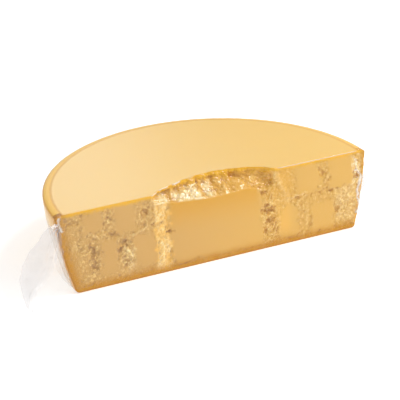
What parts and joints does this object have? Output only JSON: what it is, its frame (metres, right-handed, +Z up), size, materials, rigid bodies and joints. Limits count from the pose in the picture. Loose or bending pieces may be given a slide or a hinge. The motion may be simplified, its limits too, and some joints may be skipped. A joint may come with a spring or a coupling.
{
  "type": "half cheese wheel",
  "caption": "Half of a wheel of hard aged cheese, cut and broken across, with a scoop out of its top edge, sealed in clear vacuum film with a loose tail.",
  "frame": {"origin": "under the middle of the part's box, on the surface the part rests on", "axes": "+X along the cut towards the small tab, +Y from the cut face into the cheese, +Z up"},
  "size_m": [0.438, 0.2256, 0.0936],
  "materials": {
    "cheese": "waxy and satin on the rind and the blade's flat marks, dull and crumbly where the cheese broke",
    "film": "clear, thin and glossy, milky where two layers lie together"
  },
  "bodies": {
    "root": {"cheese_half_wheel": "cheese", "vacuum_bag": "film"}
  },
  "joints": []
}
